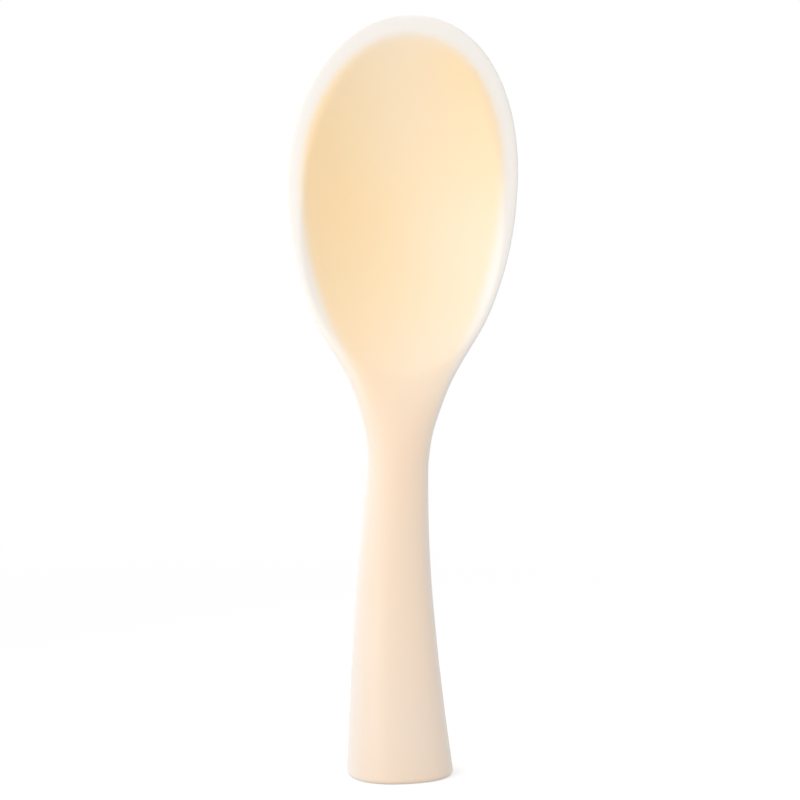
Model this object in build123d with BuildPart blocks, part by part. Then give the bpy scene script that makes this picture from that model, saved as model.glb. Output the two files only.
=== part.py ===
from build123d import *
import math
import os

import numpy as np

# A self-standing rice paddle, in millimetres, +Z up.
# The origin is on the table under the middle of the foot. The dish faces -Y.
# A hard core carries the shape, and a milky silicone skin is moulded over it.
# A steel weight in the foot keeps the paddle upright on its own.

os.makedirs("parts", exist_ok=True)

# Whole paddle
paddle_height = 220.0
foot_width = 31.3
foot_depth = 27.0
foot_edge_round = 1.5
neck_height = 91.0
neck_width = 17.8
neck_depth = 13.0
handle_bow = 7.0
tip_reach = 11.3

# Blade
blade_width = 68.0
lip_thickness = 1.6
blade_thickness = 3.4
dish_depth = 6.0
dish_rim = 4.2
dish_tip_margin = 4.5
dish_edge_softness = 0.7

# Silicone skin
handle_skin = 1.3
blade_skin = 0.8
sole_thickness = 1.6
rim_band = 4.6
tip_band = 5.6

# Weight in the foot, and what closes it in
weight_length = 20.0
weight_clearance = 0.1
weight_edge_chamfer = 0.6
pad_thickness = 2.0
bore_wall = 1.4
bore_end_round = 1.0
core_foot_round = 0.8
plug_ledge = 1.2
plug_flange_thickness = 1.8
plug_spigot_length = 4.2
plug_boss_diameter = 6.0
plug_recess = 0.4
plug_clearance = 0.1
plug_edge_chamfer = 0.4
seal_groove_width = 2.0
seal_groove_depth = 1.1
seal_clearance = 0.02
cut_overrun = 1.0

# Spacing of the level sections that the body is drawn through
section_step = 4.8

# Shape numbers without a unit
flare_power = 1.25
tip_roundness_power = 2.1
crown_power = 2.2
handle_bluntness = 0.7
blade_bluntness = 5.0
section_points = 48
lip_crowding_share = 0.35

# Places on the blade, as shares of its length from the neck to the tip.
dish_bottom_share = 0.205
shoulder_share = 0.457
dish_deepest_share = 0.535
widest_share = 0.632

# Front outline from the neck to the widest place:
# (share of the way up, share of the growth in half width).
outline_shares = (
    (0.0, 0.0),
    (0.1, 0.033),
    (0.2, 0.122),
    (0.3, 0.245),
    (0.4, 0.428),
    (0.5, 0.625),
    (0.6, 0.765),
    (0.7, 0.868),
    (0.8, 0.939),
    (0.9, 0.982),
    (1.0, 1.0),
)

# Side view: (share of the height, share of the handle's bow to the back,
# share of the tip's reach to the front).
side_shares = (
    (0.0, 0.0, 0.0),
    (0.09, 0.54, 0.0),
    (0.18, 0.9, 0.0),
    (0.264, 1.0, 0.0),
    (0.34, 0.76, 0.0),
    (0.414, 0.36, 0.005),
    (0.477, 0.13, 0.04),
    (0.545, 0.02, 0.12),
    (0.636, 0.0, 0.2),
    (0.727, 0.0, 0.24),
    (0.795, 0.0, 0.3),
    (0.864, 0.0, 0.46),
    (0.932, 0.0, 0.71),
    (1.0, 0.0, 1.0),
)


def smooth_line(places):
    """A natural cubic spline through (place, value) pairs, as a function of place."""
    along = np.array([place[0] for place in places], float)
    value = np.array([place[1] for place in places], float)
    step = np.diff(along)
    slope = np.diff(value) / step
    matrix = np.eye(len(along))
    bend = np.zeros(len(along))
    for i in range(1, len(along) - 1):
        matrix[i, i - 1 : i + 2] = step[i - 1], 2 * (step[i - 1] + step[i]), step[i]
        bend[i] = 6 * (slope[i] - slope[i - 1])
    curve = np.linalg.solve(matrix, bend)

    def read(at):
        i = min(max(int(np.searchsorted(along, at)) - 1, 0), len(step) - 1)
        before = at - along[i]
        after = along[i + 1] - at
        return (
            (curve[i] * after**3 + curve[i + 1] * before**3) / (6 * step[i])
            + (value[i] / step[i] - curve[i] * step[i] / 6) * after
            + (value[i + 1] / step[i] - curve[i + 1] * step[i] / 6) * before
        )

    return read


blade_length = paddle_height - neck_height
dish_bottom_height = neck_height + blade_length * dish_bottom_share
shoulder_height = neck_height + blade_length * shoulder_share
dish_deepest_height = neck_height + blade_length * dish_deepest_share
widest_height = neck_height + blade_length * widest_share
outline = smooth_line(outline_shares)
handle_side = smooth_line([(row[0], row[1]) for row in side_shares])
tip_side = smooth_line([(row[0], row[2]) for row in side_shares])


def ease(start, end, height):
    """Rises smoothly from 0 at the start height to 1 at the end height."""
    share = min(max((height - start) / (end - start), 0.0), 1.0)
    return share**3 * (10 - 15 * share + 6 * share**2)


def blunt(rise, bluntness):
    """A rounded edge profile: 0 at the edge, 1 in the middle."""
    return math.tanh(bluntness * rise) / math.tanh(bluntness)


def bow(height):
    """How far the middle of the lips or of the handle lies behind the foot's middle."""
    share = height / paddle_height
    return handle_bow * handle_side(share) - tip_reach * tip_side(share)


def flare(neck_size, foot_size, height):
    """A half size of the handle, which flares from the neck down to the foot."""
    share = max((neck_height - height) / neck_height, 0.0)
    return (neck_size + (foot_size - neck_size) * share**flare_power) / 2


def tip_share(height, tip_height):
    """1 up to the widest place, then falls to 0 at the tip along a rounded end."""
    share = max((height - widest_height) / (tip_height - widest_height), 0.0)
    return max(1 - share**tip_roundness_power, 0.0) ** (1 / tip_roundness_power)


def half_width(height):
    """Half width of the front outline below the widest place."""
    if height < neck_height:
        return flare(neck_width, foot_width, height)
    share = (height - neck_height) / (widest_height - neck_height)
    return (neck_width + (blade_width - neck_width) * outline(min(share, 1.0))) / 2


def edge_bluntness(height):
    return handle_bluntness + (blade_bluntness - handle_bluntness) * ease(
        neck_height, shoulder_height, height
    )


def edge_half_depth(height):
    """Half depth of the handle, which thins to half the lip's thickness on the blade."""
    handle = flare(neck_depth, foot_depth, height)
    thinned = ease(neck_height, shoulder_height, height)
    return handle + (lip_thickness / 2 - handle) * thinned


def crown_ridge(height):
    """How far the middle of the blade's back bulges behind its lips."""
    up = max((height - widest_height) / (paddle_height - widest_height), 0.0)
    along = ease(neck_height, shoulder_height, height) * (1 - min(up, 1.0) ** crown_power)
    return (dish_depth + blade_thickness - lip_thickness) * along


def crown(across, height):
    """The same bulge away from the middle, falling to nothing at the lips."""
    reach = half_width(height) * tip_share(height, paddle_height)
    return crown_ridge(height) * max(1 - (across / reach) ** 2, 0.0)


def dish(across, height):
    """How far the front is hollowed: a bowl whose edge runs out softly."""
    if height < dish_deepest_height:
        length = dish_deepest_height - dish_bottom_height
    else:
        length = paddle_height - dish_tip_margin - dish_deepest_height
    along = (height - dish_deepest_height) / length
    aside = across / (blade_width / 2 - dish_rim)
    bowl = dish_depth * (1 - aside**2 - along**2)
    return (bowl + math.hypot(bowl, dish_edge_softness)) / 2


def section(height, tip_height, side_inset, face_inset):
    """Points of one level section: the paddle's outside, or its core inside the skin."""
    end = tip_share(height, tip_height)
    reach = (half_width(height) - side_inset) * end
    bluntness = edge_bluntness(height)
    points = []
    for i in range(section_points):
        turn = 2 * math.pi * i / section_points
        turn -= lip_crowding_share * math.sin(2 * turn)
        across = reach * math.cos(turn)
        hollow = dish(across, height)
        bulge = crown(across, height)
        middle = bow(height) + (hollow + bulge) / 2
        half = edge_half_depth(height) + (bulge - hollow) / 2 - face_inset
        rise = math.copysign(blunt(abs(math.sin(turn)), bluntness), math.sin(turn))
        points.append((across, middle + half * blunt(end, bluntness) * rise))
    return points


def section_heights(bottom, tip_height):
    """Even steps up to the widest place, then steps that shorten towards the tip."""
    lower = widest_height - bottom
    upper = tip_height - widest_height
    lower_count = round(lower / section_step)
    upper_count = round(upper * math.pi / 2 / section_step)
    lower_heights = [bottom + lower * i / lower_count for i in range(lower_count)]
    turns = [math.pi / 2 * i / upper_count for i in range(upper_count)]
    return lower_heights + [widest_height + upper * math.sin(turn) for turn in turns]


def outside_section(height):
    return section(height, paddle_height, 0, 0)


core_tip_height = paddle_height - tip_band


def skin_at(height, on_handle, on_blade):
    """A skin thickness that changes smoothly from the handle's to the blade's."""
    return on_handle + (on_blade - on_handle) * ease(neck_height, shoulder_height, height)


def core_section(height):
    side_inset = skin_at(height, handle_skin, rim_band)
    face_inset = skin_at(height, handle_skin, blade_skin)
    return section(height, core_tip_height, side_inset, face_inset)


def body_sections(bottom, tip_height, outline_at):
    """The level sections of a body, and the point at its tip."""
    parameters = [i / section_points for i in range(section_points + 1)]
    sections = []
    for height in section_heights(bottom, tip_height):
        with BuildSketch(Plane.XY.offset(height), mode=Mode.PRIVATE) as level:
            with BuildLine():
                ring = [Vector(*point) for point in outline_at(height)]
                add(Edge.make_spline(ring, periodic=True, parameters=parameters))
            make_face()
        sections.append(level.sketch.face())
    tip_middle = bow(tip_height) + (dish(0, tip_height) + crown_ridge(tip_height)) / 2
    sections.append(Vertex(0, tip_middle, tip_height))
    return sections


# The bore is centred in the core between its two narrowest places: behind the
# plug's flange at the bottom, and in front of the bore's end, where the handle
# leans back.
flange_top = sole_thickness + plug_flange_thickness
plug_top = flange_top + plug_spigot_length
weight_top = plug_top + weight_length
bore_top = weight_top + pad_thickness
core_front = bow(bore_top) - edge_half_depth(bore_top) + handle_skin
core_back = bow(flange_top) + edge_half_depth(flange_top) - handle_skin
bore_middle = (core_front + core_back - plug_ledge) / 2
bore_radius = (core_back - core_front - plug_ledge) / 2 - bore_wall
ledge_radius = bore_radius + plug_ledge
boss_radius = plug_boss_diameter / 2
groove_radius = bore_radius - plug_clearance - seal_groove_depth


def on_bore(height):
    """A level plane whose origin is on the bore's axis."""
    return Plane((0, bore_middle, height))


# The core's outside, before its bore is made.
with BuildPart() as core_blank:
    loft(sections=body_sections(sole_thickness, core_tip_height, core_section))
    fillet(core_blank.faces().sort_by(Axis.Z)[0].edges(), radius=core_foot_round)

# Milky silicone skin, moulded over the core. It stands past the core's edge as
# a soft scraping rim round the blade, and its sole is what the paddle stands on.
with BuildPart() as silicone_skin:
    loft(sections=body_sections(0, paddle_height, outside_section))
    fillet(silicone_skin.faces().sort_by(Axis.Z)[0].edges(), radius=foot_edge_round)
    add(core_blank.part, mode=Mode.SUBTRACT)
    with BuildSketch(on_bore(0)):
        Circle(boss_radius)
    extrude(amount=sole_thickness + cut_overrun, mode=Mode.SUBTRACT)

# Hard cream core, one moulding from the foot to the blade, with a blind bore in
# the foot for the weight and a ledge that the plug's flange closes.
with BuildPart() as paddle_core:
    add(core_blank.part)
    with BuildSketch(on_bore(sole_thickness)):
        Circle(bore_radius)
    extrude(amount=bore_top - sole_thickness, mode=Mode.SUBTRACT)
    bore_end = paddle_core.faces().filter_by(Plane.XY).sort_by(Axis.Z)[-1]
    fillet(bore_end.edges(), radius=bore_end_round)
    with BuildSketch(on_bore(sole_thickness)):
        Circle(ledge_radius)
    extrude(amount=plug_flange_thickness, mode=Mode.SUBTRACT)

# Steel slug that makes the foot heavy.
with BuildPart() as ballast_weight:
    with BuildSketch(on_bore(plug_top)):
        Circle(bore_radius - weight_clearance)
    extrude(amount=weight_length)
    chamfer(ballast_weight.edges(), length=weight_edge_chamfer)

# Foam pad that holds the slug down, so that it can't rattle.
with BuildPart() as ballast_pad:
    with BuildSketch(on_bore(weight_top)):
        Circle(bore_radius - bore_end_round)
    extrude(amount=pad_thickness)

# Plug welded into the bore's mouth. Its boss fills the hole that the locating
# pin of the mould leaves in the sole, and stops short of the table.
with BuildPart() as base_plug:
    with BuildSketch(on_bore(sole_thickness)):
        Circle(ledge_radius - plug_clearance)
    extrude(amount=plug_flange_thickness)
    with BuildSketch(on_bore(flange_top)):
        Circle(bore_radius - plug_clearance)
    extrude(amount=plug_spigot_length)
    chamfer(base_plug.edges().sort_by(Axis.Z)[-1], length=plug_edge_chamfer)
    with BuildSketch(on_bore(plug_recess)):
        Circle(boss_radius)
    extrude(amount=sole_thickness - plug_recess)
    chamfer(base_plug.edges().sort_by(Axis.Z)[0], length=plug_edge_chamfer)
    with BuildSketch(on_bore(flange_top + (plug_spigot_length - seal_groove_width) / 2)):
        Circle(bore_radius)
        Circle(groove_radius, mode=Mode.SUBTRACT)
    extrude(amount=seal_groove_width, mode=Mode.SUBTRACT)

# Rubber ring in the plug's groove, which keeps dishwater off the steel.
with BuildPart() as plug_seal:
    with BuildSketch(Plane.XZ.offset(-bore_middle)):
        with Locations(((bore_radius + groove_radius) / 2, flange_top + plug_spigot_length / 2)):
            Ellipse(
                (bore_radius - groove_radius) / 2 - seal_clearance,
                seal_groove_width / 2 - seal_clearance,
            )
    revolve(axis=Axis((0, bore_middle, 0), (0, 0, 1)))

pieces = {
    "silicone_skin": silicone_skin,
    "paddle_core": paddle_core,
    "ballast_weight": ballast_weight,
    "ballast_pad": ballast_pad,
    "base_plug": base_plug,
    "plug_seal": plug_seal,
}
for name, piece in pieces.items():
    piece.part.label = name
    export_step(piece.part, f"parts/{name}.step")
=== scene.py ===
import math

import bmesh
import bpy
import numpy as np
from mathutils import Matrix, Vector
from mathutils.kdtree import KDTree


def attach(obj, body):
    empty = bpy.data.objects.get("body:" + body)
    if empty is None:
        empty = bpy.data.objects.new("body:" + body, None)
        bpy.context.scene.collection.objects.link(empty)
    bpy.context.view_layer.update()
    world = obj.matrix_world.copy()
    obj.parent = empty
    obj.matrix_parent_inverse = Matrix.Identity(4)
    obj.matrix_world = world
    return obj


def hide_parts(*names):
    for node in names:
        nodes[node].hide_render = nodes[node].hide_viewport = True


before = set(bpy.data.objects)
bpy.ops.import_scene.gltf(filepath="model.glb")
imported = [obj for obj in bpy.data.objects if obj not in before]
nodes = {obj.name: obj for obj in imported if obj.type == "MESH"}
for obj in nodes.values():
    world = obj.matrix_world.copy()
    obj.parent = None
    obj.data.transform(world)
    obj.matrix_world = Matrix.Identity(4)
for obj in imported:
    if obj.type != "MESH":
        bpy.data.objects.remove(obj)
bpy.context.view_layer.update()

mm = 0.001


# Silicone skin. Cloudy white silicone, moulded over the hard core in one shot.
# It is thin on the blade's faces, thicker on the handle, and stands past the
# core's edge as a soft rim. The mould's locating pin leaves a hole in its sole.
paddle_height = 220.0
foot_width = 31.3
foot_depth = 27.0
foot_edge_round = 1.5
neck_height = 91.0
neck_width = 17.8
neck_depth = 13.0
handle_bow = 7.0
tip_reach = 11.3
blade_width = 68.0
lip_thickness = 1.6
blade_thickness = 3.4
dish_depth = 6.0
dish_rim = 4.2
dish_tip_margin = 4.5
dish_edge_softness = 0.12
handle_skin = 1.3
blade_skin = 0.8
sole_thickness = 1.6
rim_band = 4.6
tip_band = 5.6
core_foot_round = 0.8
flare_power = 1.25
tip_roundness_power = 2.1
crown_power = 2.2
handle_bluntness = 0.7
blade_bluntness = 5.0
lip_crowding_share = 0.35
dish_bottom_share = 0.205
shoulder_share = 0.457
dish_deepest_share = 0.535
widest_share = 0.632
# Front outline from the neck to the widest place:
# (share of the way up, share of the growth in half width).
outline_shares = (
    (0.0, 0.0),
    (0.1, 0.033),
    (0.2, 0.122),
    (0.3, 0.245),
    (0.4, 0.428),
    (0.5, 0.625),
    (0.6, 0.765),
    (0.7, 0.868),
    (0.8, 0.939),
    (0.9, 0.982),
    (1.0, 1.0),
)
# Side view: (share of the height, share of the handle's bow to the back,
# share of the tip's reach to the front).
side_shares = (
    (0.0, 0.0, 0.0),
    (0.09, 0.54, 0.0),
    (0.18, 0.9, 0.0),
    (0.264, 1.0, 0.0),
    (0.34, 0.76, 0.0),
    (0.414, 0.36, 0.005),
    (0.477, 0.13, 0.04),
    (0.545, 0.02, 0.12),
    (0.636, 0.0, 0.2),
    (0.727, 0.0, 0.24),
    (0.795, 0.0, 0.3),
    (0.864, 0.0, 0.46),
    (0.932, 0.0, 0.71),
    (1.0, 0.0, 1.0),
)
blade_length = paddle_height - neck_height
dish_bottom_height = neck_height + blade_length * dish_bottom_share
shoulder_height = neck_height + blade_length * shoulder_share
dish_deepest_height = neck_height + blade_length * dish_deepest_share
widest_height = neck_height + blade_length * widest_share
core_tip_height = paddle_height - tip_band
points_around = 160
ring_step = 1.3
corner_steps = 6
flat_edge_share = 1.2
sharp_from = math.radians(60)
merge_distance = 0.001 * mm


def smooth_line(places):
    """A natural cubic spline through (place, value) pairs, as a function of place."""
    along, value = np.array(places, float).T
    step = np.diff(along)
    slope = np.diff(value) / step
    matrix = np.eye(len(along))
    bend = np.zeros(len(along))
    for i in range(1, len(along) - 1):
        matrix[i, i - 1 : i + 2] = step[i - 1], 2 * (step[i - 1] + step[i]), step[i]
        bend[i] = 6 * (slope[i] - slope[i - 1])
    curve = np.linalg.solve(matrix, bend)

    def read(at):
        i = min(max(int(np.searchsorted(along, at)) - 1, 0), len(step) - 1)
        before = at - along[i]
        after = along[i + 1] - at
        return (
            (curve[i] * after**3 + curve[i + 1] * before**3) / (6 * step[i])
            + (value[i] / step[i] - curve[i] * step[i] / 6) * after
            + (value[i + 1] / step[i] - curve[i + 1] * step[i] / 6) * before
        )

    return read


outline = smooth_line(outline_shares)
handle_side = smooth_line([(row[0], row[1]) for row in side_shares])
tip_side = smooth_line([(row[0], row[2]) for row in side_shares])
turns = np.linspace(0, 2 * math.pi, points_around, endpoint=False)
turns -= lip_crowding_share * np.sin(2 * turns)


def from_neck(height, on_handle, on_blade):
    """Changes smoothly from the handle's value to the blade's, neck to shoulder."""
    share = min(max((height - neck_height) / (shoulder_height - neck_height), 0), 1)
    return on_handle + (on_blade - on_handle) * share**3 * (10 - 15 * share + 6 * share**2)


def flare(neck_size, foot_size, height):
    """A half size of the handle, which flares from the neck down to the foot."""
    share = max((neck_height - height) / neck_height, 0)
    return (neck_size + (foot_size - neck_size) * share**flare_power) / 2


def half_width(height):
    """Half width of the front outline below the widest place."""
    if height < neck_height:
        return flare(neck_width, foot_width, height)
    share = (height - neck_height) / (widest_height - neck_height)
    return (neck_width + (blade_width - neck_width) * outline(min(share, 1))) / 2


def tip_share(height, tip_height):
    """1 up to the widest place, then falls to 0 at the tip along a rounded end."""
    share = max((height - widest_height) / (tip_height - widest_height), 0)
    return max(1 - share**tip_roundness_power, 0) ** (1 / tip_roundness_power)


def blunt(rise, bluntness):
    """A rounded edge profile: 0 at the edge, 1 in the middle."""
    return np.tanh(bluntness * rise) / np.tanh(bluntness)


def hollow(across, height):
    """How far the front is hollowed: a bowl whose edge runs out softly."""
    low = height < dish_deepest_height
    dish_end = dish_bottom_height if low else paddle_height - dish_tip_margin
    along = (height - dish_deepest_height) / (dish_end - dish_deepest_height)
    aside = across / (blade_width / 2 - dish_rim)
    bowl = dish_depth * (1 - aside**2 - along**2)
    return (bowl + np.hypot(bowl, dish_edge_softness)) / 2


def bulge(across, height):
    """How far the back bulges behind the lips, most in the middle."""
    up = max((height - widest_height) / (paddle_height - widest_height), 0)
    ridge = from_neck(height, 0, dish_depth + blade_thickness - lip_thickness)
    reach = max(half_width(height) * tip_share(height, paddle_height), foot_edge_round * mm)
    return ridge * (1 - up**crown_power) * np.maximum(1 - (across / reach) ** 2, 0)


def level_ring(height, tip_height, side_inset, face_inset):
    """One level ring of points: the paddle's outside, or its core inside the skin."""
    end = tip_share(height, tip_height)
    across = (half_width(height) - side_inset) * end * np.cos(turns)
    share = height / paddle_height
    bow = handle_bow * handle_side(share) - tip_reach * tip_side(share)
    front = hollow(across, height)
    back = bulge(across, height)
    edge = from_neck(height, flare(neck_depth, foot_depth, height), lip_thickness / 2)
    half = edge + (back - front) / 2 - face_inset
    bluntness = from_neck(height, handle_bluntness, blade_bluntness)
    rise = np.sign(np.sin(turns)) * blunt(np.abs(np.sin(turns)), bluntness)
    deep = bow + (front + back) / 2 + half * blunt(end, bluntness) * rise
    return np.column_stack([across, deep, np.full(points_around, height)])


def body_rings(bottom, tip_height, corner_round, side_inset, face_inset):
    """Level rings from the flat bottom, round its edge, up to the tip.

    Insets are (handle, blade).
    """
    start = bottom + corner_round
    places = [(bottom, flat_edge_share * corner_round)]
    for i in range(corner_steps):
        turn = math.pi / 2 * i / corner_steps
        places.append((start - corner_round * math.cos(turn), corner_round * (1 - math.sin(turn))))
    lower_count = round((widest_height - start) / ring_step)
    upper_count = round((tip_height - widest_height) * math.pi / 2 / ring_step)
    for i in range(lower_count):
        places.append((start + (widest_height - start) * i / lower_count, 0))
    for i in range(upper_count + 1):
        turn = math.pi / 2 * i / upper_count
        places.append((widest_height + (tip_height - widest_height) * math.sin(turn), 0))
    return [
        level_ring(
            height,
            tip_height,
            from_neck(height, *side_inset) + drawn_in,
            from_neck(height, *face_inset) + drawn_in,
        )
        for height, drawn_in in places
    ]


def ring_mesh(name, rings):
    """A mesh through rings of points in millimetres, with its ends drawn together."""
    points = np.concatenate(rings) * mm
    shape = bmesh.new()
    corners = [shape.verts.new(point) for point in points]
    for i in range(len(rings) - 1):
        for j in range(points_around):
            near = i * points_around + j
            beside = i * points_around + (j + 1) % points_around
            quad = (near, beside, beside + points_around, near + points_around)
            shape.faces.new([corners[k] for k in quad])
    bmesh.ops.remove_doubles(shape, verts=shape.verts, dist=merge_distance)
    bmesh.ops.recalc_face_normals(shape, faces=shape.faces)
    mesh = bpy.data.meshes.new(name)
    shape.to_mesh(mesh)
    shape.free()
    mesh.shade_smooth()
    mesh.set_sharp_from_angle(angle=sharp_from)
    return mesh


# One closed surface: from the tip down the outside, across the sole to the pin
# hole, up its wall, out over the core's foot and up inside to the core's tip.
outer_rings = body_rings(0, paddle_height, foot_edge_round, (0, 0), (0, 0))
inner_rings = body_rings(
    sole_thickness,
    core_tip_height,
    core_foot_round,
    (handle_skin, rim_band),
    (handle_skin, blade_skin),
)
boss = np.array([v.co for v in nodes["base_plug"].data.vertices]) / mm
boss = boss[boss[:, 2] < sole_thickness / 2]
pin_middle = (boss.min(0) + boss.max(0)) / 2
pin_radius = (boss[:, 0].max() - boss[:, 0].min()) / 2
pin_rings = [
    np.column_stack(
        [
            pin_radius * np.cos(turns),
            pin_middle[1] + pin_radius * np.sin(turns),
            np.full(points_around, height),
        ]
    )
    for height in (0, sole_thickness)
]
skin_mesh = ring_mesh("silicone_skin_finished", outer_rings[::-1] + pin_rings + inner_rings)

# How much of the core shows through at each point. On the blade it is 1 up to
# the core's edge and fades to 0 past it, softly, because the cloudy rim scatters
# the light. On the handle it is painted lower towards the sides, so that they are paler: a painted
# sheen for the milky haze of skin seen edge on.
core_edge_softness = 0.65
handle_painted_sheen_softness = 1.3
handle_painted_sheen_share = 0.5
core_edge = KDTree(2 * len(inner_rings))
for i, ring in enumerate(inner_rings):
    for j, point in enumerate((ring[0], ring[points_around // 2])):
        core_edge.insert((point[0], 0, point[2]), 2 * i + j)
core_edge.balance()


def core_seen_with_painted_sheen(place):
    """The share of the core's colour at a place, from where the core's edge is, lowered towards the
    handle's sides as a painted sheen.
    """
    across, _, height = place / mm
    core_width = half_width(height) - from_neck(height, handle_skin, rim_band)
    past_edge = core_edge.find((across, 0, height))[2]
    if abs(across) < core_width * tip_share(height, core_tip_height):
        past_edge = -past_edge
    on_blade = 1 / (1 + math.exp(past_edge / core_edge_softness))
    # Painted sheen: the handle's sides are painted paler towards their edges.
    painted_sheen = handle_painted_sheen_share / (1 + math.exp(-past_edge / handle_painted_sheen_softness))
    return from_neck(height, 1 - painted_sheen, on_blade)


def thick_skin(place):
    """1 on the handle, where the skin over the core is thick, and 0 on the blade."""
    return from_neck(place.z / mm, 1, 0)


for name, rule in (("core_seen_with_painted_sheen", core_seen_with_painted_sheen), ("thick_skin", thick_skin)):
    values = skin_mesh.attributes.new(name, "FLOAT", "POINT")
    values.data.foreach_set("value", [rule(v.co) for v in skin_mesh.vertices])
skin = bpy.data.objects.new("silicone_skin_finished", skin_mesh)
bpy.context.scene.collection.objects.link(skin)


def colour(code):
    """A linear RGBA colour from an sRGB hex value."""
    levels = [int(code[i : i + 2], 16) / 255 for i in (1, 3, 5)]
    return (*((v / 12.92 if v <= 0.04045 else ((v + 0.055) / 1.055) ** 2.4) for v in levels), 1)


def add_node(tree, kind, inputs, **settings):
    """Adds a node. Each input is a value, or a socket that is linked to it."""
    node = tree.nodes.new(kind)
    for name, value in settings.items():
        setattr(node, name, value)
    for name, value in inputs.items():
        if isinstance(value, bpy.types.NodeSocket):
            tree.links.new(value, node.inputs[name])
        else:
            node.inputs[name].default_value = value
    return node


def new_material(name):
    """An empty material and its node tree."""
    material = bpy.data.materials.new(name)
    material.use_nodes = True
    material.node_tree.nodes.clear()
    return material, material.node_tree


def set_material(piece, material):
    piece.data.materials.clear()
    piece.data.materials.append(material)


# Silicone rubber, cured in a fine-blasted mould: a satin, slightly waxy face with
# a pale haze where it turns away. The cream core shows through where the skin is
# thin, and past the core's edge it is a milky white; the handle's sides are a
# painted sheen, paler towards their edges. Soft clouds a few centimetres wide
# make it a little milkier in some places, and they are placed so that they paint
# light and shade on the dish: paler on its lit right side, deeper cream on its
# shaded left side. The blasted grain is about 0.05 mm, drawn coarser here so that
# it shows.
thin_skin_colour = "#FCDAA3"
thick_skin_colour = "#FBDBBA"
milk_colour = "#F4EFE8"
# Clouds of milkiness, also placed to paint light and shade on the dish: paler on its lit right
# side.
cloud_and_painted_light_size = 60 * mm
cloud_place_for_painted_light = (6.29, 5.3, -5.11)
cloudiness_and_painted_light_range = (0.35, 1.35)
grain_size = 0.35 * mm
grain_height = 0.006 * mm
sheen_patch_size = 9 * mm
silicone_roughness = (0.38, 0.47)
silicone_ior = 1.41
edge_haze = 1.0
edge_haze_roughness = 0.6

silicone, tree = new_material("cloudy_moulded_silicone")
place = add_node(tree, "ShaderNodeTexCoord", {}).outputs["Object"]
core_and_painted_sheen_share = add_node(tree, "ShaderNodeAttribute", {}, attribute_name="core_seen_with_painted_sheen")
# Painted light and shade: the clouds make the dish paler on its lit right side and deeper cream on
# its shaded left.
in_clouds_and_painted_light = add_node(
    tree,
    "ShaderNodeMapping",
    {"Vector": place, "Scale": [1 / cloud_and_painted_light_size] * 3, "Location": cloud_place_for_painted_light},
)
clouds_and_painted_light = add_node(
    tree, "ShaderNodeTexNoise", {"Vector": in_clouds_and_painted_light.outputs[0], "Scale": 1.0, "Detail": 1.0}
)
clearness_and_painted_light = add_node(
    tree,
    "ShaderNodeMapRange",
    {
        "Value": clouds_and_painted_light.outputs[0],
        "To Min": cloudiness_and_painted_light_range[0],
        "To Max": cloudiness_and_painted_light_range[1],
    },
)
clouded_and_painted_light_share = add_node(
    tree,
    "ShaderNodeMath",
    {0: core_and_painted_sheen_share.outputs["Fac"], 1: clearness_and_painted_light.outputs[0]},
    operation="MULTIPLY",
    use_clamp=True,
)
thickness = add_node(tree, "ShaderNodeAttribute", {}, attribute_name="thick_skin")
core_colour = add_node(
    tree,
    "ShaderNodeMix",
    {
        0: thickness.outputs["Fac"],
        6: colour(thin_skin_colour),
        7: colour(thick_skin_colour),
    },
    data_type="RGBA",
)
body_colour = add_node(
    tree,
    "ShaderNodeMix",
    {0: clouded_and_painted_light_share.outputs[0], 6: colour(milk_colour), 7: core_colour.outputs[2]},
    data_type="RGBA",
)
patches = add_node(
    tree, "ShaderNodeTexNoise", {"Vector": place, "Scale": 1 / sheen_patch_size, "Detail": 2.0}
)
roughness = add_node(
    tree,
    "ShaderNodeMapRange",
    {
        "Value": patches.outputs[0],
        "To Min": silicone_roughness[0],
        "To Max": silicone_roughness[1],
    },
)
grain = add_node(
    tree, "ShaderNodeTexNoise", {"Vector": place, "Scale": 1 / grain_size, "Detail": 2.0}
)
grain_bump = add_node(
    tree, "ShaderNodeBump", {"Height": grain.outputs[0], "Distance": grain_height}
)
shader = add_node(
    tree,
    "ShaderNodeBsdfPrincipled",
    {
        "Base Color": body_colour.outputs[2],
        "Roughness": roughness.outputs[0],
        "IOR": silicone_ior,
        "Sheen Weight": edge_haze,
        "Sheen Roughness": edge_haze_roughness,
        "Normal": grain_bump.outputs[0],
    },
)
add_node(tree, "ShaderNodeOutputMaterial", {"Surface": shader.outputs[0]})
set_material(skin, silicone)
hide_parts("silicone_skin")
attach(skin, "root")


# Core. One moulding of polypropylene, filled and tinted cream, that gives the
# paddle its stiffness. The skin is moulded over it, and it never shows bare.
# Waxy and low in gloss, with faint flow marks that run along the mould.
core_colours = ("#F6CE9A", "#FFDDB0")
flow_mark_size = 5 * mm
flow_mark_stretch = 0.2
flow_mark_waviness = 0.6
core_grain_size = 0.5 * mm
core_grain_height = 0.01 * mm
core_roughness = (0.36, 0.48)
polypropylene_ior = 1.49

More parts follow.
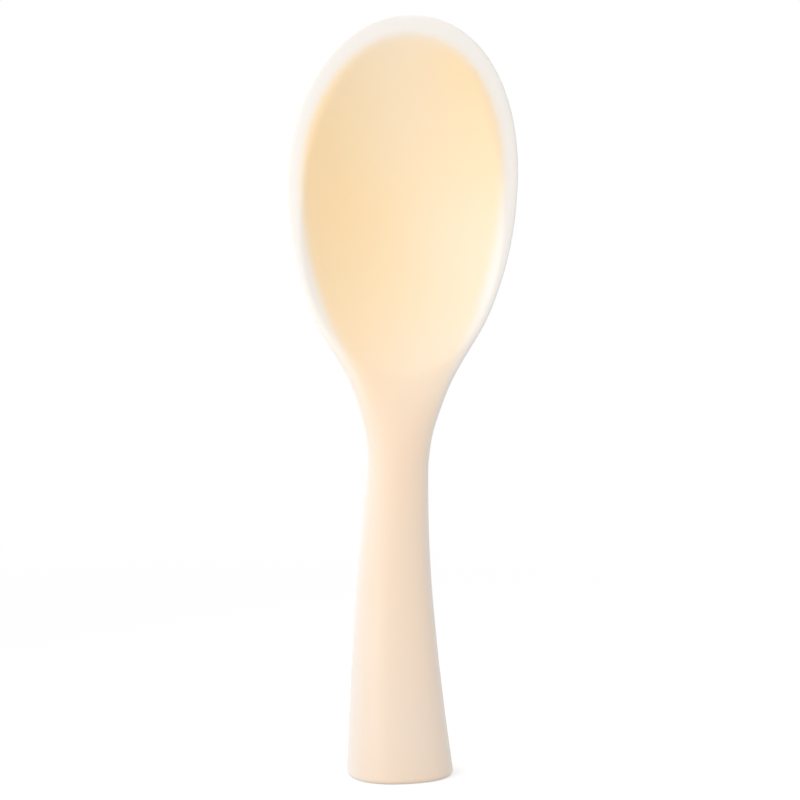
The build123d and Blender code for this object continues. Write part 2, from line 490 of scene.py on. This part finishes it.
core, tree = new_material("cream_moulded_polypropylene")
place = add_node(tree, "ShaderNodeTexCoord", {}).outputs["Object"]
along_mould = add_node(
    tree, "ShaderNodeMapping", {"Vector": place, "Scale": (1, 1, flow_mark_stretch)}
)
flow_marks = add_node(
    tree,
    "ShaderNodeTexNoise",
    {
        "Vector": along_mould.outputs[0],
        "Scale": 1 / flow_mark_size,
        "Distortion": flow_mark_waviness,
    },
)
core_colour = add_node(
    tree,
    "ShaderNodeMix",
    {0: flow_marks.outputs[0], 6: colour(core_colours[0]), 7: colour(core_colours[1])},
    data_type="RGBA",
)
roughness = add_node(
    tree,
    "ShaderNodeMapRange",
    {"Value": flow_marks.outputs[0], "To Min": core_roughness[0], "To Max": core_roughness[1]},
)
grain = add_node(tree, "ShaderNodeTexNoise", {"Vector": place, "Scale": 1 / core_grain_size})
grain_bump = add_node(
    tree, "ShaderNodeBump", {"Height": grain.outputs[0], "Distance": core_grain_height}
)
shader = add_node(
    tree,
    "ShaderNodeBsdfPrincipled",
    {
        "Base Color": core_colour.outputs[2],
        "Roughness": roughness.outputs[0],
        "IOR": polypropylene_ior,
        "Normal": grain_bump.outputs[0],
    },
)
add_node(tree, "ShaderNodeOutputMaterial", {"Surface": shader.outputs[0]})
set_material(nodes["paddle_core"], core)


# Weight. A slug cut from mild steel bar and turned, then zinc plated. It is
# slid into the foot's bore and held there by the pad and the plug.
# Fine turning lines run round it, and the zinc has a grey, patchy bloom.
zinc_colours = ("#A9A9A4", "#C9C8C2")
turning_line_spacing = 0.3 * mm
turning_line_height = 0.008 * mm
turning_line_waviness = 0.3
zinc_patch_size = 2.5 * mm
zinc_roughness = (0.28, 0.5)

zinc, tree = new_material("zinc_plated_turned_steel")
place = add_node(tree, "ShaderNodeTexCoord", {}).outputs["Object"]
turning_lines = add_node(
    tree,
    "ShaderNodeTexWave",
    {
        "Vector": place,
        "Scale": math.pi / 10 / turning_line_spacing,
        "Distortion": turning_line_waviness,
    },
    bands_direction="Z",
)
bloom = add_node(
    tree, "ShaderNodeTexNoise", {"Vector": place, "Scale": 1 / zinc_patch_size, "Detail": 4.0}
)
zinc_colour = add_node(
    tree,
    "ShaderNodeMix",
    {0: bloom.outputs[0], 6: colour(zinc_colours[0]), 7: colour(zinc_colours[1])},
    data_type="RGBA",
)
roughness = add_node(
    tree,
    "ShaderNodeMapRange",
    {"Value": bloom.outputs[0], "To Min": zinc_roughness[0], "To Max": zinc_roughness[1]},
)
line_bump = add_node(
    tree, "ShaderNodeBump", {"Height": turning_lines.outputs[1], "Distance": turning_line_height}
)
shader = add_node(
    tree,
    "ShaderNodeBsdfPrincipled",
    {
        "Base Color": zinc_colour.outputs[2],
        "Metallic": 1.0,
        "Roughness": roughness.outputs[0],
        "Normal": line_bump.outputs[0],
    },
)
add_node(tree, "ShaderNodeOutputMaterial", {"Surface": shader.outputs[0]})
set_material(nodes["ballast_weight"], zinc)


# Pad. A disc punched from closed-cell polyethylene foam sheet, pressed between
# the weight and the end of the bore so that the weight can't rattle.
# Dark grey and dull, with the small round cells of the foam.
foam_colours = ("#3A3A3C", "#5A5A5E")
foam_cell_size = 0.6 * mm
foam_cell_depth = 0.08 * mm
foam_roughness = (0.8, 0.95)

foam, tree = new_material("closed_cell_foam")
place = add_node(tree, "ShaderNodeTexCoord", {}).outputs["Object"]
cells = add_node(tree, "ShaderNodeTexVoronoi", {"Vector": place, "Scale": 1 / foam_cell_size})
foam_colour = add_node(
    tree,
    "ShaderNodeMix",
    {0: cells.outputs["Distance"], 6: colour(foam_colours[0]), 7: colour(foam_colours[1])},
    data_type="RGBA",
)
roughness = add_node(
    tree,
    "ShaderNodeMapRange",
    {
        "Value": cells.outputs["Distance"],
        "To Min": foam_roughness[0],
        "To Max": foam_roughness[1],
    },
)
cell_bump = add_node(
    tree, "ShaderNodeBump", {"Height": cells.outputs["Distance"], "Distance": foam_cell_depth}
)
shader = add_node(
    tree,
    "ShaderNodeBsdfPrincipled",
    {
        "Base Color": foam_colour.outputs[2],
        "Roughness": roughness.outputs[0],
        "Normal": cell_bump.outputs[0],
    },
)
add_node(tree, "ShaderNodeOutputMaterial", {"Surface": shader.outputs[0]})
set_material(nodes["ballast_pad"], foam)


# Plug. Moulded in the core's own polypropylene and welded into the bore's
# mouth. Only its boss shows, a round disc set back in the sole.
# Its face keeps the faint rings of the turned mould insert it was cast against.
plug_colours = ("#F3CD9C", "#FBDCB0")
insert_ring_spacing = 0.4 * mm
insert_ring_height = 0.01 * mm
plug_roughness = (0.36, 0.46)

plug, tree = new_material("cream_welded_polypropylene")
place = add_node(tree, "ShaderNodeTexCoord", {}).outputs["Object"]
on_axis = add_node(
    tree, "ShaderNodeMapping", {"Vector": place, "Location": (0, -pin_middle[1] * mm, 0)}
)
insert_rings = add_node(
    tree,
    "ShaderNodeTexWave",
    {"Vector": on_axis.outputs[0], "Scale": math.pi / 10 / insert_ring_spacing},
    wave_type="RINGS",
    rings_direction="Z",
)
mottle = add_node(tree, "ShaderNodeTexNoise", {"Vector": place, "Scale": 1 / flow_mark_size})
plug_colour = add_node(
    tree,
    "ShaderNodeMix",
    {0: mottle.outputs[0], 6: colour(plug_colours[0]), 7: colour(plug_colours[1])},
    data_type="RGBA",
)
roughness = add_node(
    tree,
    "ShaderNodeMapRange",
    {"Value": mottle.outputs[0], "To Min": plug_roughness[0], "To Max": plug_roughness[1]},
)
ring_bump = add_node(
    tree, "ShaderNodeBump", {"Height": insert_rings.outputs[1], "Distance": insert_ring_height}
)
shader = add_node(
    tree,
    "ShaderNodeBsdfPrincipled",
    {
        "Base Color": plug_colour.outputs[2],
        "Roughness": roughness.outputs[0],
        "IOR": polypropylene_ior,
        "Normal": ring_bump.outputs[0],
    },
)
add_node(tree, "ShaderNodeOutputMaterial", {"Surface": shader.outputs[0]})
set_material(nodes["base_plug"], plug)


# Seal. A moulded nitrile rubber ring, stretched into the plug's groove, which
# keeps dishwater off the steel.
# Black and dull, with a thin bloom of dust from the moulding powder.
rubber_colours = ("#161616", "#2B2B2B")
rubber_bloom_size = 0.8 * mm
rubber_grain_height = 0.01 * mm
rubber_roughness = (0.5, 0.7)

rubber, tree = new_material("moulded_nitrile_rubber")
place = add_node(tree, "ShaderNodeTexCoord", {}).outputs["Object"]
bloom = add_node(
    tree, "ShaderNodeTexNoise", {"Vector": place, "Scale": 1 / rubber_bloom_size, "Detail": 4.0}
)
rubber_colour = add_node(
    tree,
    "ShaderNodeMix",
    {0: bloom.outputs[0], 6: colour(rubber_colours[0]), 7: colour(rubber_colours[1])},
    data_type="RGBA",
)
roughness = add_node(
    tree,
    "ShaderNodeMapRange",
    {"Value": bloom.outputs[0], "To Min": rubber_roughness[0], "To Max": rubber_roughness[1]},
)
grain_bump = add_node(
    tree, "ShaderNodeBump", {"Height": bloom.outputs[0], "Distance": rubber_grain_height}
)
shader = add_node(
    tree,
    "ShaderNodeBsdfPrincipled",
    {
        "Base Color": rubber_colour.outputs[2],
        "Roughness": roughness.outputs[0],
        "Normal": grain_bump.outputs[0],
    },
)
add_node(tree, "ShaderNodeOutputMaterial", {"Surface": shader.outputs[0]})
set_material(nodes["plug_seal"], rubber)


# Floor: a pale table that runs out into white all round. To the eye it glows
# just enough to be white where no shadow falls.
floor_reach = 1.5
floor_colour = "#E0E0E0"
floor_glow = 0.43
shadow_start = 0.1
shadow_end = 0.4


def seen_by_eye(tree):
    """1 for rays from the camera, in gloss and through clear things, otherwise 0."""
    ray = add_node(tree, "ShaderNodeLightPath", {})
    seen = add_node(
        tree,
        "ShaderNodeMath",
        {0: ray.outputs["Is Camera Ray"], 1: ray.outputs["Is Glossy Ray"]},
        operation="MAXIMUM",
    )
    seen_through = add_node(
        tree,
        "ShaderNodeMath",
        {0: seen.outputs[0], 1: ray.outputs["Is Transmission Ray"]},
        operation="MAXIMUM",
    )
    return seen_through.outputs[0]


floor_mesh = bpy.data.meshes.new("table")
floor_corners = [
    (-floor_reach, -floor_reach, 0),
    (floor_reach, -floor_reach, 0),
    (floor_reach, floor_reach, 0),
    (-floor_reach, floor_reach, 0),
]
floor_mesh.from_pydata(floor_corners, [], [range(4)])
floor = bpy.data.objects.new("table", floor_mesh)
bpy.context.scene.collection.objects.link(floor)
white, tree = new_material("white_table")
place = add_node(tree, "ShaderNodeTexCoord", {}).outputs["Object"]
away = add_node(tree, "ShaderNodeVectorMath", {0: place}, operation="LENGTH")
far_share = add_node(
    tree,
    "ShaderNodeMapRange",
    {"Value": away.outputs["Value"], "From Min": shadow_start, "From Max": shadow_end},
    interpolation_type="SMOOTHSTEP",
)
eye = seen_by_eye(tree)
far_seen = add_node(tree, "ShaderNodeMath", {0: far_share.outputs[0], 1: eye}, operation="MULTIPLY")
near_glow = add_node(tree, "ShaderNodeMath", {0: floor_glow, 1: eye}, operation="MULTIPLY")
matt = add_node(tree, "ShaderNodeBsdfDiffuse", {"Color": colour(floor_colour)})
glow = add_node(tree, "ShaderNodeEmission", {"Strength": near_glow.outputs[0]})
near = add_node(tree, "ShaderNodeAddShader", {0: matt.outputs[0], 1: glow.outputs[0]})
far = add_node(tree, "ShaderNodeEmission", {"Strength": 1.0})
table_top = add_node(
    tree, "ShaderNodeMixShader", {0: far_seen.outputs[0], 1: near.outputs[0], 2: far.outputs[0]}
)
add_node(tree, "ShaderNodeOutputMaterial", {"Surface": table_top.outputs[0]})
set_material(floor, white)


# Light: a white room, and four small softboxes close round the blade. Grids
# hold their light to the blade, so it is weaker on the foot.
room_strength = 0.67
lamp_height = 0.19
lamp_size = 0.3
lamp_distance = 0.45
lamp_spread = math.radians(60)
lamps = {
    "key": (-45, 0, 0.19),
    "side": (-70, 40, 0.07),
    "back": (-140, 40, 0.13),
    "fill": (85, 20, 0.04),
}


def seen_from(azimuth, elevation):
    """The way from the paddle to an eye or lamp. Azimuth 0 is in front of the dish."""
    level = math.cos(elevation)
    return Vector((math.sin(azimuth) * level, -math.cos(azimuth) * level, math.sin(elevation)))


world = bpy.data.worlds.new("studio")
bpy.context.scene.world = world
world.use_nodes = True
tree = world.node_tree
tree.nodes.clear()
strength = add_node(
    tree, "ShaderNodeMapRange", {"Value": seen_by_eye(tree), "To Min": room_strength, "To Max": 1.0}
)
sky = add_node(
    tree, "ShaderNodeBackground", {"Color": (1, 1, 1, 1), "Strength": strength.outputs[0]}
)
add_node(tree, "ShaderNodeOutputWorld", {"Surface": sky.outputs[0]})
for name, (azimuth, elevation, power) in lamps.items():
    lamp = bpy.data.lights.new(name, "AREA")
    lamp.size = lamp_size
    lamp.spread = lamp_spread
    lamp.energy = power
    softbox = bpy.data.objects.new(name, lamp)
    lamp_way = seen_from(math.radians(azimuth), math.radians(elevation))
    softbox.location = Vector((0, 0, lamp_height)) + lamp_way * lamp_distance
    softbox.rotation_euler = (-lamp_way).to_track_quat("-Z", "Y").to_euler()
    bpy.context.scene.collection.objects.link(softbox)


# Camera: from the left and a little above, as far away as for a small product.
view_azimuth = math.radians(-14.0)
view_elevation = math.radians(7.5)
view_distance = 0.9
view_middle = Vector((0, 0, 0.11))
lens_length = 140.9
sensor_width = 36
camera_data = bpy.data.cameras.new("camera")
camera_data.lens = lens_length
camera_data.sensor_width = sensor_width
camera = bpy.data.objects.new("camera", camera_data)
view_way = seen_from(view_azimuth, view_elevation)
camera.location = view_middle + view_way * view_distance
camera.rotation_euler = (-view_way).to_track_quat("-Z", "Y").to_euler()
bpy.context.scene.collection.objects.link(camera)
bpy.context.scene.camera = camera
bpy.context.scene.view_settings.view_transform = "Standard"
